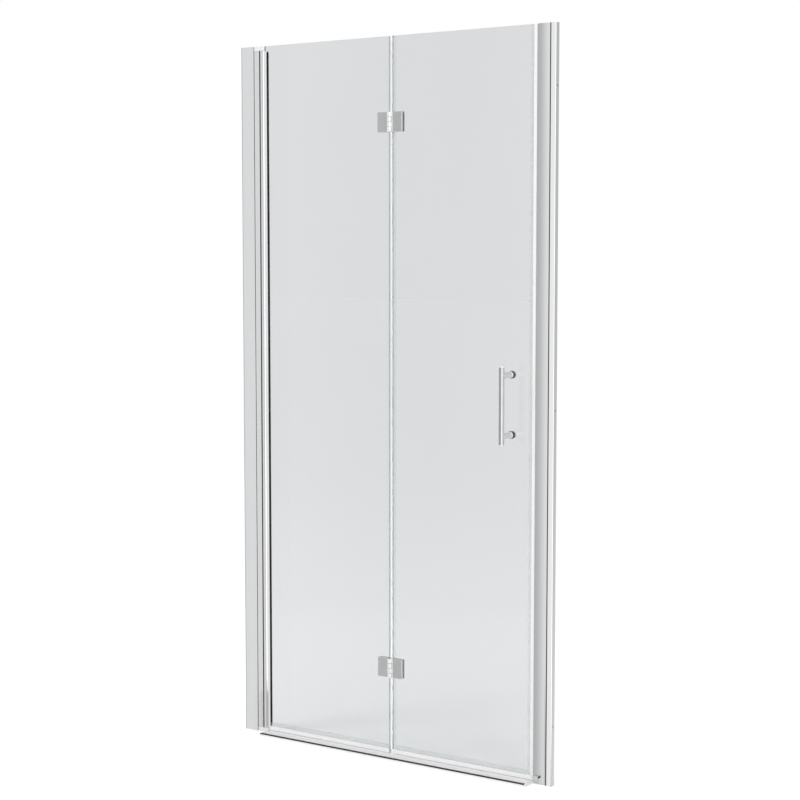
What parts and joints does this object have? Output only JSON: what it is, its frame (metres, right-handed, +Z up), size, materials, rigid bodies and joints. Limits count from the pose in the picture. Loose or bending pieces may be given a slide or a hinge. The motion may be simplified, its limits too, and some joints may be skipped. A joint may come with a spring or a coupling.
{
  "type": "bifold shower door",
  "caption": "Bifold shower door for a niche: clear glass leaves with chrome hinges, a pivot at one wall, a bar handle, a magnetic strike and a low sill.",
  "frame": {"origin": "on the floor under the sill bar, midway between the walls, in the mid-plane of the closed glass", "axes": "+X from the pivot side to the strike side, which is to the right seen from the room; +Y towards the shower; +Z up"},
  "size_m": [0.988, 0.069, 1.9],
  "materials": {
    "polished_aluminium": "polished and bright anodised extrusion",
    "chrome": "bright chrome plate",
    "stainless": "stainless steel, turned",
    "clear_glass": "clear toughened glass with arrissed edges",
    "clear_vinyl": "clear extruded vinyl seal",
    "white_vinyl": "translucent white extruded vinyl seal",
    "black_rubber": "black rubber, matt",
    "white_nylon": "moulded white nylon",
    "grey_plastic": "moulded grey end cap",
    "dark_magnet": "flexible magnet strip"
  },
  "bodies": {
    "frame": {"left_wall_profile": "polished_aluminium", "pivot_carrier": "polished_aluminium", "left_top_cap": "grey_plastic", "left_clamp_screw_low": "stainless", "left_clamp_screw_middle": "stainless", "left_clamp_screw_high": "stainless", "bottom_pivot_block": "chrome", "top_pivot_block": "chrome", "bottom_pivot_bush": "white_nylon", "top_pivot_bush": "white_nylon", "right_wall_profile": "polished_aluminium", "strike_profile": "polished_aluminium", "strike_magnet": "dark_magnet", "right_top_cap": "grey_plastic", "right_clamp_screw_low": "stainless", "right_clamp_screw_middle": "stainless", "right_clamp_screw_high": "stainless", "sill_bar": "polished_aluminium", "sill_cap_left": "white_nylon", "sill_cap_right": "white_nylon", "strike_foot_pin": "chrome"},
    "pivot_leaf": {"pivot_stile": "polished_aluminium", "bottom_stile_pin": "stainless", "top_stile_pin": "stainless", "glazing_gasket_front": "black_rubber", "glazing_gasket_back": "black_rubber", "pivot_glass": "clear_glass", "pivot_bottom_seal": "white_vinyl", "upper_hinge_pivot_plate": "chrome", "upper_hinge_pivot_clamp_plate": "chrome", "upper_hinge_pivot_screw_upper": "stainless", "upper_hinge_pivot_screw_lower": "stainless", "upper_hinge_pin": "chrome", "lower_hinge_pivot_plate": "chrome", "lower_hinge_pivot_clamp_plate": "chrome", "lower_hinge_pivot_screw_upper": "stainless", "lower_hinge_pivot_screw_lower": "stainless", "lower_hinge_pin": "chrome"},
    "folding_leaf": {"folding_glass": "clear_glass", "folding_bottom_seal": "white_vinyl", "fold_seal": "clear_vinyl", "magnet_seal": "white_vinyl", "seal_magnet": "dark_magnet", "handle_bar": "chrome", "handle_post_upper": "chrome", "handle_post_lower": "chrome", "handle_washer_upper": "black_rubber", "handle_washer_lower": "black_rubber", "handle_inner_washer_upper": "black_rubber", "handle_inner_washer_lower": "black_rubber", "handle_cap_nut_upper": "chrome", "handle_cap_nut_lower": "chrome", "upper_hinge_folding_plate": "chrome", "upper_hinge_folding_clamp_plate": "chrome", "upper_hinge_folding_screw_upper": "stainless", "upper_hinge_folding_screw_lower": "stainless", "lower_hinge_folding_plate": "chrome", "lower_hinge_folding_clamp_plate": "chrome", "lower_hinge_folding_screw_upper": "stainless", "lower_hinge_folding_screw_lower": "stainless"}
  },
  "joints": [
    {"name": "pivot", "type": "hinge", "parent": "frame", "child": "pivot_leaf", "pos_m": [-0.424, 0, 0], "axis": [0, 0, 1], "range_deg": [0, 90]},
    {"name": "fold", "type": "hinge", "parent": "pivot_leaf", "child": "folding_leaf", "pos_m": [0.001, -0.009, 0], "axis": [0, 0, 1], "range_deg": [-170, 0]}
  ]
}
